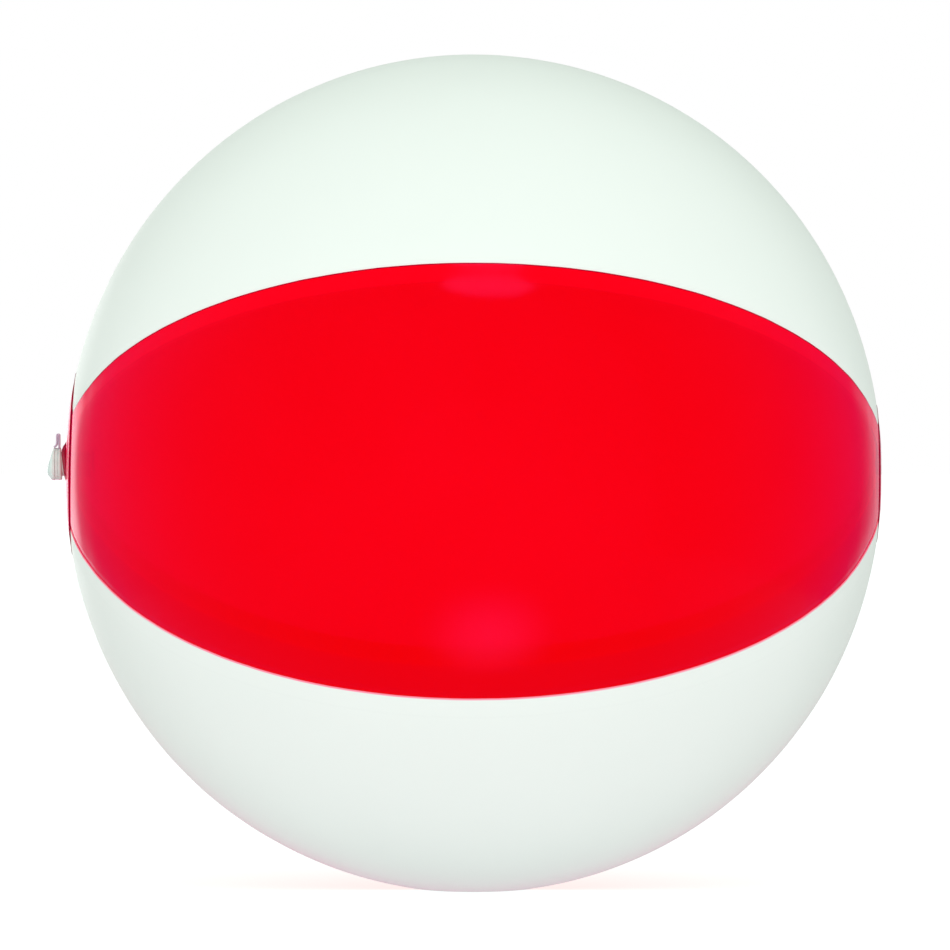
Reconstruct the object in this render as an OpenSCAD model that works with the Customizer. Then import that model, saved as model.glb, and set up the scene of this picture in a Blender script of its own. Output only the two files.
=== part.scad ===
// Inflatable beach ball: six welded film panels, two end discs and a push-in valve with a tethered plug.
// The poles lie along X with the valve at -X. The floor is z = 0, and the ball rests on it at the origin.

/* [Ball] */
// Largest diameter of the inflated ball, across its panels
ball_d = 280; // [200:1:500]
// How much shorter the ball is from pole to pole than across its panels
pole_drop = 8.4; // [1:0.1:30]
// Thickness of the film
film_t = 0.25; // [0.15:0.01:0.6]
// Width of the margin that each panel tucks under the next one
lap_w = 7; // [2:0.5:12]
// Width of the weld where that margin joins its own panel
weld_w = 1.5; // [0.5:0.1:4]
// How far the seams pass from the pole axis, so that red panels end broad and white ones narrow
tip_spread = 6; // [0:0.1:7]
// Width of the flat on which the soft ball rests
rest_w = 34; // [10:1:60]

/* [End discs] */
// Diameter of the disc that closes the end with the valve
valve_disc_d = 61; // [54:1:80]
// Diameter of the disc that closes the other end
plain_disc_d = 46; // [42:1:60]
// Width of the ring where the plain disc is welded over the panels' tips
disc_weld_w = 6; // [3:0.5:8]

/* [Valve seat] */
// Height of the valve's axis, and of the middle of its end disc, above the pole axis
valve_rise = 3.2; // [0:0.1:5]
// Diameter of the soft collar at its foot, which fills the hole in the end disc
collar_d = 15; // [13:0.1:20]
// Height of the collar above the end disc
collar_h = 1.6; // [1:0.1:4]
// Thickness of the collar's cone
collar_t = 0.5; // [0.3:0.05:0.9]
// Gap between the panels' tips and the flange welded inside the end disc
flange_gap = 0.8; // [0.3:0.1:3]
// Thickness of the flange
flange_t = 0.8; // [0.5:0.1:1.5]
// Width of the step on which the collar's foot is welded to the flange
flange_step = 1; // [0.5:0.1:1.5]

/* [Valve stem] */
// Outer diameter of the stem
stem_d = 8; // [7.4:0.1:8.6]
// Diameter of the bore
bore_d = 5.2; // [4.4:0.1:6]
// Length of the stem inside the ball
stem_in = 9; // [7:0.1:16]
// Diameter of the lip round the mouth
lip_d = 10; // [9:0.1:11]
// Height of the lip
lip_h = 1; // [0.6:0.1:1.6]
// Diameter of the plate at the inner end, on which the flap closes
seat_d = 10.8; // [9.6:0.1:11.4]
// Thickness of that plate
seat_h = 1; // [0.6:0.1:1.6]
// Diameter of the air hole through that plate
air_hole_d = 3.6; // [2:0.1:4]

/* [Plug] */
// Diameter of the plug's head
head_d = 10.9; // [9.8:0.1:12]
// Height of the head at its thick side, away from the strap
head_h = 3; // [2.4:0.1:4]
// Height of the head at its thin edge, where the strap joins it
head_thin = 0.65; // [0.4:0.05:1]
// Height of the bevel round the head
bevel_h = 1.9; // [0.4:0.1:2]
// Width of the bevel round the head
bevel_w = 2.6; // [0.4:0.1:3.2]
// Length of the spigot in the stem's bore
spigot_len = 6.5; // [4:0.1:8]
// Length of the spigot's tapered nose
nose_h = 1.6; // [0.5:0.1:3]
// Diameter of the nose at its tip
nose_d = 3.6; // [2.6:0.1:4]
// Diameter of the hollow down the middle of the plug
hollow_d = 1.8; // [1:0.1:2.2]
// Thickness left at the bottom of that hollow
hollow_floor = 1.2; // [0.8:0.1:2]

/* [Strap] */
// Width of the strap
strap_w = 4; // [2:0.1:6]
// Thickness of the strap
strap_t = 0.65; // [0.4:0.05:0.9]
// How far the strap's fold stands above the valve's axis
strap_reach = 10.2; // [9:0.1:16]
// Radius of the fold along the middle of the strap
fold_r = 0.45; // [0.4:0.05:0.9]
// Outer diameter of the strap's ring round the stem
ring_d = 10.8; // [10:0.1:12]
// Height of that ring
ring_h = 0.9; // [0.6:0.1:1.5]

/* [Check flap] */
// Diameter of the flap
flap_d = 7; // [5:0.1:8]
// Thickness of the flap
flap_t = 0.4; // [0.2:0.05:0.6]
// Width of the flap at its hinge
flap_hinge_w = 5; // [3:0.1:6]
// Distance from the middle of the flap to its hinge line
flap_hinge_x = 4.4; // [4:0.1:5]

/* [Clearances] */
// Radial clearance of the plug in the bore and of the strap's ring on the stem
slip = 0.05; // [0.01:0.01:0.1]
// Gap between soft pieces that move apart
soft_gap = 0.15; // [0.1:0.01:0.3]

/* [Hidden] */
$fn = 180;
panel_count = 6;
panel_turn = 360 / panel_count;
// The meridian is one arc, whose centre lies off the pole axis
pole_off = pole_drop / 2;
ball_r = ball_d / 2;
meridian_r = ball_r - pole_off;
// Each seam's plane is swung back so that all panels are equally wide round the ball's middle
seam_swing = asin(tip_spread / ball_r);
tip_r = plain_disc_d / 2 - disc_weld_w;
// The hollow inside the film runs on past the panels' open tips
hollow_r = tip_r - disc_weld_w / 2;
// The ball's middle stands over the floor by its radius, less what the flat takes
ball_z = sqrt(pow(ball_r, 2) - pow(rest_w / 2, 2));
pole_x = meridian_r + film_t;
flange_r = tip_r - valve_rise - flange_gap;
// Outer pieces of the valve, stacked from the end disc outwards
ring_z = collar_h + soft_gap;
lip_z = ring_z + ring_h + slip;
mouth_z = lip_z + lip_h;
head_z = mouth_z + slip;
flap_z = -stem_in - soft_gap - flap_t / 2;
// Lower leg, fold and sloping upper leg of the strap, which ends beside the head's thin edge
leg_z = ring_z + ring_h - strap_t / 2;
fold_x = strap_reach - fold_r - strap_t / 2;
fold_z = leg_z + fold_r;
strap_end_x = max(head_d, lip_d) / 2 + soft_gap;
strap_end_z = head_z + head_thin / 2;
leg_run = sqrt(pow(fold_x - strap_end_x, 2) + pow(strap_end_z - fold_z, 2));
leg_slope = atan2(strap_end_z - fold_z, fold_x - strap_end_x) - asin(fold_r / leg_run);

red_film = [0.93, 0.02, 0.07, 0.8];
white_film = [0.93, 0.97, 0.94];
clear_pvc = [0.82, 0.84, 0.88, 0.7];

// Turns the pole axis from Z to X, with turn 0 facing the floor, and lifts the ball onto the floor
module on_poles() {
    translate([0, 0, ball_z]) rotate([0, 90, 0]) children();
}

// Puts the valve's axis along -X on its end disc, with the strap's side up
module at_valve() {
    translate([-pole_x, 0, ball_z + valve_rise]) rotate([0, -90, 0]) children();
}

// Wedge of the ball's body, inset from the panels' outer face, from one turn about the poles over a sweep
module body_wedge(inset, from_turn, sweep, inner_r) {
    rotate([0, 0, from_turn]) rotate_extrude(angle = sweep) intersection() {
        translate([pole_off, 0]) circle(meridian_r - inset);
        translate([inner_r, -ball_d]) square([ball_d, 2 * ball_d]);
    }
}

// Flattens a wedge of the first or last panel, which meet over the floor
module rested(inset, index) {
    if (index == 0 || index == panel_count - 1) intersection() {
        children();
        rotate([0, 0, -index * panel_turn]) translate([-ball_d, -ball_d, -ball_d])
            cube([ball_d + ball_z - inset, 2 * ball_d, 2 * ball_d]);
    }
    else children();
}

// Half-space past a panel's first seam
module past_first_seam(side) {
    rotate([0, 0, side * seam_swing]) translate([-ball_d, -side * tip_spread, -ball_d])
        cube([2 * ball_d, 2 * ball_d, 2 * ball_d]);
}

// Slab along a panel's second seam, from a distance on its own side over a given width
module seam_slab(side, before, width) {
    rotate([0, 0, panel_turn - side * seam_swing]) translate([-ball_d / 2, side * tip_spread - before, -ball_d])
        cube([2 * ball_d, width, 2 * ball_d]);
}

// Panel of film between two seams, with the margin that goes under the next panel
module panel(index) {
    // Red panels spread at their tips and white ones draw in
    side = index % 2 == 0 ? 1 : -1;
    half_turn = panel_turn / 2;
    open_turn = 1;
    hollow_from = -half_turn - open_turn;
    hollow_sweep = 2 * (panel_turn + open_turn);
    on_poles() rotate([0, 0, index * panel_turn]) difference() {
        union() {
            intersection() {
                rested(0, index) body_wedge(0, -half_turn, 2 * panel_turn, tip_r);
                past_first_seam(side);
                seam_slab(side, ball_d, ball_d);
            }
            intersection() {
                rested(film_t, index) body_wedge(film_t, half_turn, panel_turn, tip_r);
                seam_slab(side, weld_w, weld_w + lap_w);
            }
        }
        difference() {
            rested(film_t, index) body_wedge(film_t, hollow_from, hollow_sweep, hollow_r);
            seam_slab(side, weld_w, ball_d);
        }
        rested(2 * film_t, index) body_wedge(2 * film_t, hollow_from, hollow_sweep, hollow_r);
    }
}

module lower_rear_red_panel() { color(red_film) panel(0); }

module rear_white_panel() { color(white_film) panel(1); }

module upper_rear_red_panel() { color(red_film) panel(2); }

module upper_white_panel() { color(white_film) panel(3); }

module front_red_panel() { color(red_film) panel(4); }

module lower_white_panel() { color(white_film) panel(5); }

// Ring of film that follows the poles' curve, between two offsets from the panels' outer face
module pole_cap(outset, inset, cap_r) {
    rotate_extrude() {
        intersection() {
            translate([pole_off, 0]) difference() {
                circle(meridian_r + outset);
                circle(meridian_r - inset);
            }
            translate([pole_off, 0]) square([cap_r - pole_off, ball_r]);
        }
        translate([0, meridian_r - inset]) square([pole_off, outset + inset]);
    }
}

// The same at the end that has the valve
module valve_pole() {
    translate([0, 0, ball_z]) rotate([0, -90, 0]) children();
}

module plain_end_disc() {
    color(red_film) on_poles() pole_cap(film_t, 0, plain_disc_d / 2);
}

module valve_end_disc() {
    color(red_film) difference() {
        intersection() {
            valve_pole() pole_cap(film_t, 0, valve_disc_d);
            at_valve() cylinder(d = valve_disc_d, h = ball_r, center = true);
        }
        at_valve() cylinder(d = collar_d, h = ball_r, center = true);
    }
}

module valve_flange() {
    color(clear_pvc) difference() {
        intersection() {
            valve_pole() pole_cap(0, flange_t, tip_r);
            at_valve() cylinder(r = flange_r, h = ball_r, center = true);
        }
        at_valve() cylinder(d = collar_d - 2 * flange_step, h = ball_r, center = true);
    }
}

// Soft cone between the end disc and the stem
module valve_collar() {
    foot_r = collar_d / 2;
    top_r = stem_d / 2 + soft_gap;
    color(red_film) at_valve() rotate_extrude() polygon([
        [foot_r, -film_t], [foot_r, 0], [top_r + collar_t, collar_h],
        [top_r, collar_h], [top_r, collar_h - collar_t], [foot_r - flange_step - collar_t, -film_t]
    ]);
}

// Tube with a lip round its mouth and a plate at its inner end
module valve_stem() {
    lip_mid = (lip_d - lip_h) / 2;
    color(clear_pvc) at_valve() rotate_extrude() difference() {
        union() {
            translate([0, -stem_in]) square([stem_d / 2, stem_in + mouth_z]);
            translate([0, lip_z]) square([lip_mid, lip_h]);
            translate([lip_mid, lip_z + lip_h / 2]) circle(d = lip_h);
            translate([0, -stem_in]) square([seat_d / 2, seat_h]);
        }
        translate([-stem_d, seat_h - stem_in]) square([stem_d + bore_d / 2, stem_in + ball_r]);
        translate([-stem_d, -stem_in - seat_h]) square([stem_d + air_hole_d / 2, 3 * seat_h]);
    }
}

// Stopper with a tapered, hollow spigot and a bevelled head, whose outer face slopes to the strap's side
module plug() {
    spigot_r = bore_d / 2 - slip;
    face_r = head_d / 2 - bevel_w;
    face_slope = atan2(head_h - head_thin, head_d / 2 + face_r);
    // The bevel runs on past the place where the face cuts it
    crown_r = face_r / 2;
    crown_h = head_h + (face_r - crown_r) * bevel_h / bevel_w;
    color(clear_pvc) at_valve() translate([0, 0, head_z]) difference() {
        rotate_extrude() polygon([
            [0, -spigot_len], [nose_d / 2, -spigot_len], [spigot_r, nose_h - spigot_len], [spigot_r, 0],
            [head_d / 2, 0], [head_d / 2, head_h - bevel_h], [crown_r, crown_h], [0, crown_h]
        ]);
        translate([-face_r, 0, head_h]) rotate([0, face_slope, 0]) translate([-head_d, -head_d, 0])
            cube([3 * head_d, 2 * head_d, head_d]);
        translate([0, 0, hollow_floor - spigot_len]) cylinder(d = hollow_d, h = spigot_len + crown_h);
    }
}

// Side view of the strap from its ring to the plug's head
module strap_outline() {
    fold_reach = 4 * fold_r;
    fold_end = leg_slope - 2;
    translate([stem_d / 2, leg_z - strap_t / 2]) square([fold_x - stem_d / 2, strap_t]);
    translate([fold_x, fold_z]) {
        intersection() {
            difference() {
                circle(fold_r + strap_t / 2);
                circle(fold_r - strap_t / 2);
            }
            polygon([
                [0, 0], [0, -fold_reach], [fold_reach, -fold_reach], [fold_reach, fold_reach],
                [fold_reach * sin(fold_end), fold_reach * cos(fold_end)]
            ]);
        }
        rotate(-leg_slope) translate([-leg_run, fold_r - strap_t / 2]) square([leg_run, strap_t]);
    }
}

// Ring round the stem and the doubled strap that leads to the plug
module plug_strap() {
    color(clear_pvc) at_valve() difference() {
        union() {
            translate([0, 0, ring_z]) cylinder(d = ring_d, h = ring_h);
            rotate([90, 0, 0]) linear_extrude(height = strap_w, center = true) strap_outline();
        }
        cylinder(d = stem_d + 2 * slip, h = 2 * ball_r, center = true);
        translate([0, 0, lip_z - slip]) cylinder(r = strap_end_x, h = ball_r);
    }
}

// Disc that hangs from a hinge line above the air hole, inside the ball
module check_flap() {
    color(clear_pvc) at_valve() translate([0, 0, flap_z]) {
        linear_extrude(height = flap_t, center = true) {
            circle(d = flap_d);
            translate([0, -flap_hinge_w / 2]) square([flap_hinge_x, flap_hinge_w]);
        }
        translate([flap_hinge_x, 0, 0]) rotate([90, 0, 0]) cylinder(d = flap_t, h = flap_hinge_w, center = true);
    }
}

front_red_panel();
upper_white_panel();
upper_rear_red_panel();
rear_white_panel();
lower_rear_red_panel();
lower_white_panel();
valve_end_disc();
plain_end_disc();
valve_flange();
valve_collar();
valve_stem();
plug();
plug_strap();
check_flap();
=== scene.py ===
# Beach ball of welded film: six panels, two end discs and a push-in valve, in metres
import functools
import math

import bmesh
import bpy
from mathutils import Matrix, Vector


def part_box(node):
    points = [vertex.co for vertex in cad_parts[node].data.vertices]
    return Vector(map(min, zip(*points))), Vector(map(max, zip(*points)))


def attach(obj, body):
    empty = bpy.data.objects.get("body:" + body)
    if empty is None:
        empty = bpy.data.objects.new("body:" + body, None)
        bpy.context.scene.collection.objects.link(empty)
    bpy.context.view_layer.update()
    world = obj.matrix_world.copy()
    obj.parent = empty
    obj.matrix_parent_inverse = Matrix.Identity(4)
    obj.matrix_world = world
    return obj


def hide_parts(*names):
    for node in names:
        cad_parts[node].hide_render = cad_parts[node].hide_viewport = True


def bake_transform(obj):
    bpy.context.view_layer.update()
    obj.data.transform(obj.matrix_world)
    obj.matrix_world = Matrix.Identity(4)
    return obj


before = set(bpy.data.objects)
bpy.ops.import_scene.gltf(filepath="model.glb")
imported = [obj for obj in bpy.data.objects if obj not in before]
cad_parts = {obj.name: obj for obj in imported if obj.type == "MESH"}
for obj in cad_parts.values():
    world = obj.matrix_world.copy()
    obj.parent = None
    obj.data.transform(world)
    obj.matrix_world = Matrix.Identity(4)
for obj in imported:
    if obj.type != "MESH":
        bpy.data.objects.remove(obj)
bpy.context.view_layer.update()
mm = 0.001
filmCrease = math.radians(40)  # edges that turn by more than this stay sharp
valveCrease = math.radians(50)

# What every piece takes from the frame
plainLow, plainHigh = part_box("plain_end_disc")
valveLow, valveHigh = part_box("valve_end_disc")
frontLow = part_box("front_red_panel")[0]

ball = {
    "film": 0.25 * mm,
    "radius": -frontLow[1],
    "centreZ": (plainLow[2] + plainHigh[2]) / 2,
    "plainRadius": (plainHigh[2] - plainLow[2]) / 2,
    "valveRadius": (valveHigh[2] - valveLow[2]) / 2,
    "valveZ": (valveLow[2] + valveHigh[2]) / 2,  # the valve stands in the middle of its disc
    "margin": 7 * mm,  # of a panel, welded under the next one
    "discWeld": 6 * mm,
    "poleX": plainHigh[0],  # outer face of the end discs
}
meridianRadius = ball["poleX"] - ball["film"]  # the meridian is one arc
poleOffset = ball["radius"] - meridianRadius  # its centre stands off the pole axis
valveRise = ball["valveZ"] - ball["centreZ"]
tipRadius = ball["plainRadius"] - ball["discWeld"]  # panels are open inside this
tipAngle = math.acos((tipRadius - poleOffset) / meridianRadius)


# Node helpers, used by Geometry Nodes and materials alike

def feed(tree, socket, value):
    if isinstance(value, bpy.types.NodeSocket):
        tree.links.new(value, socket)
    else:
        socket.default_value = value


def addNode(tree, kind, inputs=None, **settings):
    node = tree.nodes.new(kind)
    for name, value in settings.items():
        setattr(node, name, value)
    for name, value in (inputs or {}).items():
        feed(tree, node.inputs[name], value)
    return node


def calc(tree, operation, *values):
    node = tree.nodes.new("ShaderNodeMath")
    node.operation = operation
    for socket, value in zip(node.inputs, values):
        feed(tree, socket, value)
    return node.outputs[0]


def ramp(tree, value, low, high, first=0.0, last=1.0):
    node = addNode(tree, "ShaderNodeMapRange", interpolation_type="SMOOTHSTEP")
    for socket, number in zip(node.inputs, (value, low, high, first, last)):
        feed(tree, socket, number)
    return node.outputs["Result"]


def noise(tree, vector, scale, detail):
    return addNode(tree, "ShaderNodeTexNoise", {
        "Vector": vector, "Scale": scale, "Detail": detail}).outputs["Fac"]


def combined(tree, x, y, z=0.0):
    return addNode(tree, "ShaderNodeCombineXYZ", {"X": x, "Y": y, "Z": z}).outputs[0]


def scaled(tree, vector, factor):
    return addNode(tree, "ShaderNodeVectorMath", {
        "Vector": vector, "Scale": factor}, operation="SCALE").outputs["Vector"]


def floats(*labels):  # number sockets for a new tree
    return {label: "NodeSocketFloat" for label in labels}


def newTree(name, kind, inputs, outputs):
    tree = bpy.data.node_groups.new(name, kind)
    for label, socketType in outputs.items():
        tree.interface.new_socket(name=label, in_out="OUTPUT", socket_type=socketType)
    for label, socketType in inputs.items():
        tree.interface.new_socket(name=label, in_out="INPUT", socket_type=socketType)
    given = tree.nodes.new("NodeGroupInput").outputs
    result = tree.nodes.new("NodeGroupOutput").inputs
    return tree, given, result


# Object helpers

def linked(obj):
    bpy.context.scene.collection.objects.link(obj)
    return obj


def evaluatedMesh(obj):
    depsgraph = bpy.context.evaluated_depsgraph_get()
    return bpy.data.meshes.new_from_object(obj.evaluated_get(depsgraph))


def madePlain(obj):  # modifiers become a plain mesh
    mesh = evaluatedMesh(obj)
    obj.modifiers.clear()
    obj.data = mesh
    return obj


def addTree(obj, tree, values):  # a Geometry Nodes modifier with its sizes set
    modifier = obj.modifiers.new("shape", "NODES")
    modifier.node_group = tree
    for item in tree.interface.items_tree:
        if item.in_out == "INPUT" and item.socket_type != "NodeSocketGeometry":
            modifier[item.identifier] = values[item.name]


def grown(name, tree, values):  # an object whose mesh a Geometry Nodes tree makes
    obj = linked(bpy.data.objects.new(name, bpy.data.meshes.new(name)))
    addTree(obj, tree, values)
    return madePlain(obj)


def thickened(obj, thickness, inside=None):  # a wall grown inwards from the outer face
    wall = obj.modifiers.new("wall", "SOLIDIFY")
    wall.thickness = thickness
    wall.offset = -1
    wall.use_even_offset = True
    if inside:
        obj.data.materials.append(inside)
        wall.material_offset = len(obj.data.materials) - 1
    madePlain(obj)
    obj.data.set_sharp_from_angle(angle=filmCrease)
    return obj


# Camera at the photograph's place, level with the ball and far away

cameraPlace = {
    "distance": 2.8,
    "elevation": math.radians(1.14),
    "lens": 317.5,
    "aimRight": 0.5 * mm,
    "aimDown": 0.5 * mm,
}


def makeCamera(spec):
    data = bpy.data.cameras.new("camera")
    data.lens = spec["lens"]
    camera = linked(bpy.data.objects.new("camera", data))
    back = spec["distance"] * math.cos(spec["elevation"])
    rise = spec["distance"] * math.sin(spec["elevation"])
    camera.location = (spec["aimRight"], -back, ball["centreZ"] - spec["aimDown"] + rise)
    camera.rotation_euler = (math.pi / 2 - spec["elevation"], 0, 0)
    bpy.context.scene.camera = camera


makeCamera(cameraPlace)
print("camera placed")


# Shader groups shared by the films and the clear vinyl

def makeFilmHaze():  # cloudy tone, uneven gloss and the film's slight orange peel
    cloudGloss = 1.4  # clouds change the gloss more than the grain does
    cloudRelief = 0.6
    grainRelief = 0.12
    tree, given, result = newTree(
        "filmHaze", "ShaderNodeTree",
        floats("Cloud Scale", "Grain Scale", "Tone Range", "Gloss", "Gloss Range"),
        floats("Tone", "Roughness", "Height"))
    do = functools.partial(calc, tree)
    place = addNode(tree, "ShaderNodeTexCoord").outputs["Object"]
    cloud = noise(tree, place, given["Cloud Scale"], 3)
    grain = noise(tree, place, given["Grain Scale"], 2)
    centred = do("SUBTRACT", cloud, 0.5)
    uneven = do("ADD", do("MULTIPLY", centred, cloudGloss), do("SUBTRACT", grain, 0.5))
    relief = do("MULTIPLY_ADD", cloud, cloudRelief, do("MULTIPLY", grain, grainRelief))
    feed(tree, result["Tone"], do("MULTIPLY_ADD", centred, given["Tone Range"], 1))
    feed(tree, result["Roughness"], do("MULTIPLY_ADD", uneven, given["Gloss Range"], given["Gloss"]))
    feed(tree, result["Height"], relief)
    return tree


def makeWeldBand():  # the pressed band beside a seam and the film's cut edge
    tree, given, result = newTree(
        "weldBand", "ShaderNodeTree",
        floats("Band Width", "Edge Width", "Grain Scale"),
        floats("Band", "Edge", "Step", "Height"))
    do = functools.partial(calc, tree)
    gap = addNode(tree, "ShaderNodeAttribute", attribute_name="seamGap").outputs["Fac"]
    place = addNode(tree, "ShaderNodeTexCoord").outputs["Object"]
    grain = noise(tree, place, given["Grain Scale"], 1)
    band = ramp(tree, gap, do("SUBTRACT", given["Band Width"], given["Edge Width"]),
                do("ADD", given["Band Width"], given["Edge Width"]), 1, 0)
    # the cut edge, where the red film gets a dark line that is partly painted shadow
    edge = ramp(tree, gap, do("MULTIPLY", given["Edge Width"], 0.5), given["Edge Width"], 1, 0)
    step = do("MULTIPLY", do("MULTIPLY", band, do("SUBTRACT", 1, band)), 4)  # 1 where the band ends
    feed(tree, result["Band"], band)
    feed(tree, result["Edge"], edge)
    feed(tree, result["Step"], step)
    feed(tree, result["Height"], do("MULTIPLY", band, grain))
    return tree


filmHaze = makeFilmHaze()
weldBand = makeWeldBand()


# Materials

filmTexture = {  # shared by the red and white films
    "cloudScale": 26,
    "grainScale": 620,
    "glossRange": 0.08,
    "edgeOnPaintPower": 3,  # how late the painted shade and sheen set in as the film is seen more along its surface
    "weldGrain": 900,
    "weldRough": 0.05,  # welds are a little duller
    "weldRelief": 0.25,
    "bumpDepth": 0.05 * mm,
    "bumpStrength": 0.5,
    "ior": 1.53,
}
redFilmLook = {
    **filmTexture,
    "colour": (1.0, 0.0003, 0.001),
    "edgeOnShadeAndSheen": (1.0, 0.002, 0.25),  # painted purple sheen where the film is seen along its surface
    # dark line at the cut edge: the film's own edge and a painted shadow of its step
    "cutEdgeShadowAndTint": (0.18, 0.001, 0.014),
    "edgeWidth": 0.6 * mm,
    "stepShade": 0.08,  # the margin's edge underneath
    "tint": (1.0, 0.03, 0.36, 1),  # what each face lets through
    "opacity": 0.57,  # of the outer face, seen from outside
    "insideOpacity": 0.08,  # of every face on the air's side
    "lightOpacity": 0.05,  # for the light that falls through
    "toneRange": 0.03,
    "gloss": 0.1,
    "shine": 0.22,
    "shineTint": (1.0, 0.12, 1.0, 1),
}
darkFilmLook = {
    **redFilmLook,
    "colour": (0.3, 0.001, 0.012),
    # painted purple sheen where the collar is seen along its surface
    "edgeOnShadeAndSheen": (0.3, 0.001, 0.05),
    "opacity": 0.95,
}
weldLook = {
    **darkFilmLook,
    "colour": (0.66, 0.001, 0.012),
    # painted shade where the weld is seen along, towards the ball's edge
    "edgeOnShadeAndSheen": (0.17, 0.001, 0.016),
    "shine": 0.0,
}
whiteFilmLook = {
    **filmTexture,
    "colour": (0.772, 0.858, 0.79),
    # painted shade towards the ball's edge, where the film is seen along
    "edgeOnShadeAndSheen": (0.715, 0.825, 0.735),
    "cutEdgeShadowAndTint": (0.95, 0.32, 0.42),  # the red margin shows through the thin edge
    "edgeWidth": 0.7 * mm,
    "stepShade": 0.01,
    "toneRange": 0.02,
    "gloss": 0.36,
    "shine": 0.06,
    "shineTint": (1.0, 1.0, 1.0, 1),
}
clearVinylLook = {
    "colour": (0.8, 0.98, 0.9),
    # painted shade where the vinyl is seen along its surface
    "edgeOnShadeAndSheen": (0.76, 0.9, 0.84),
    "edgeOnPaintPower": 2,
    "cloudScale": 400,
    "grainScale": 2500,
    "toneRange": 0.08,
    "gloss": 0.14,
    "glossRange": 0.12,
    "bumpDepth": 0.05 * mm,
    "bumpStrength": 0.6,
    "transmission": 0.18,
    "ior": 1.4,
}
strapVinylLook = {
    **clearVinylLook,
    "colour": (0.66, 0.58, 0.71),
    # painted shade where the strap is seen along its surface
    "edgeOnShadeAndSheen": (0.5, 0.42, 0.58),
    "gloss": 0.16,
    "transmission": 0.3,
}


def newMaterial(name):
    material = bpy.data.materials.new(name)
    material.use_nodes = True
    tree = material.node_tree
    tree.nodes.clear()
    output = tree.nodes.new("ShaderNodeOutputMaterial")
    return material, tree, output.inputs["Surface"]


def mixed(tree, share, first, second):  # by number, since a mix has sockets for every kind of data
    mix = addNode(tree, "ShaderNodeMix", {0: share, 6: first, 7: second}, data_type="RGBA")
    return mix.outputs[2]


def mixedShader(tree, share, first, second):
    return addNode(tree, "ShaderNodeMixShader", {
        0: share, 1: first.outputs[0], 2: second.outputs[0]})


def bodyAndEdgeOnPaint(tree, look):  # the body colour, with painted shade and sheen where the surface is seen along
    facing = addNode(tree, "ShaderNodeLayerWeight", {"Blend": 0.5}).outputs["Facing"]
    share = calc(tree, "POWER", facing, look["edgeOnPaintPower"])
    return mixed(tree, share, (*look["colour"], 1), (*look["edgeOnShadeAndSheen"], 1))


def hazed(tree, look):  # the haze group with a material's own values
    return addNode(tree, "ShaderNodeGroup", {
        "Cloud Scale": look["cloudScale"],
        "Grain Scale": look["grainScale"],
        "Tone Range": look["toneRange"],
        "Gloss": look["gloss"],
        "Gloss Range": look["glossRange"],
    }, node_tree=filmHaze).outputs


def bumped(tree, look, height):
    return addNode(tree, "ShaderNodeBump", {
        "Height": height,
        "Distance": look["bumpDepth"],
        "Strength": look["bumpStrength"],
    }).outputs["Normal"]


def filmSurface(tree, look):  # the Principled shader of a film, with haze and welds
    do = functools.partial(calc, tree)
    haze = hazed(tree, look)
    weld = addNode(tree, "ShaderNodeGroup", {
        "Band Width": ball["margin"],
        "Edge Width": look["edgeWidth"],
        "Grain Scale": look["weldGrain"],
    }, node_tree=weldBand).outputs
    # body colour with painted shade and sheen, and the cut edge's line with painted shadow
    shade = mixed(tree, weld["Edge"], bodyAndEdgeOnPaint(tree, look), (*look["cutEdgeShadowAndTint"], 1))
    tone = do("MULTIPLY_ADD", weld["Step"], -look["stepShade"], haze["Tone"])
    height = do("MULTIPLY_ADD", weld["Height"], look["weldRelief"], haze["Height"])
    return addNode(tree, "ShaderNodeBsdfPrincipled", {
        "Base Color": scaled(tree, shade, tone),
        "Roughness": do("MULTIPLY_ADD", weld["Band"], look["weldRough"], haze["Roughness"]),
        "Normal": bumped(tree, look, height),
        "IOR": look["ior"],
        "Specular IOR Level": look["shine"],
        "Specular Tint": look["shineTint"],
    })


def makeRedFilm(name, look, opacity):  # see-through, and clearer on the air's side and to light
    material, tree, surface = newMaterial(name)
    do = functools.partial(calc, tree)
    skin = filmSurface(tree, look)
    clear = addNode(tree, "ShaderNodeBsdfTransparent", {"Color": look["tint"]})
    behind = addNode(tree, "ShaderNodeNewGeometry").outputs["Backfacing"]
    seen = addNode(tree, "ShaderNodeLightPath").outputs["Is Camera Ray"]
    cover = do("MULTIPLY_ADD", behind, look["insideOpacity"] - opacity, opacity)
    lessened = do("SUBTRACT", cover, look["lightOpacity"])
    cover = do("MULTIPLY_ADD", seen, lessened, look["lightOpacity"])
    feed(tree, surface, mixedShader(tree, cover, clear, skin).outputs[0])
    return material


def makeWhiteFilm(look):
    material, tree, surface = newMaterial("whiteFilm")
    feed(tree, surface, filmSurface(tree, look).outputs[0])
    return material


def makeVinyl(name, look):
    material, tree, surface = newMaterial(name)
    haze = hazed(tree, look)
    skin = addNode(tree, "ShaderNodeBsdfPrincipled", {
        "Base Color": scaled(tree, bodyAndEdgeOnPaint(tree, look), haze["Tone"]),
        "Roughness": haze["Roughness"],
        "Normal": bumped(tree, look, haze["Height"]),
        "IOR": look["ior"],
        "Transmission Weight": look["transmission"],
    })
    feed(tree, surface, skin.outputs[0])
    return material


redFilm = makeRedFilm("redFilm", redFilmLook, redFilmLook["opacity"])
redFilmInside = makeRedFilm("redFilmInside", redFilmLook, redFilmLook["insideOpacity"])
redWeld = makeRedFilm("redWeld", weldLook, weldLook["opacity"])
redCollar = makeRedFilm("redCollar", darkFilmLook, darkFilmLook["opacity"])
whiteFilm = makeWhiteFilm(whiteFilmLook)
clearVinyl = makeVinyl("clearVinyl", clearVinylLook)
strapVinyl = makeVinyl("strapVinyl", strapVinylLook)
print("materials made")


# Geometry Nodes steps that the trees share

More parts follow.
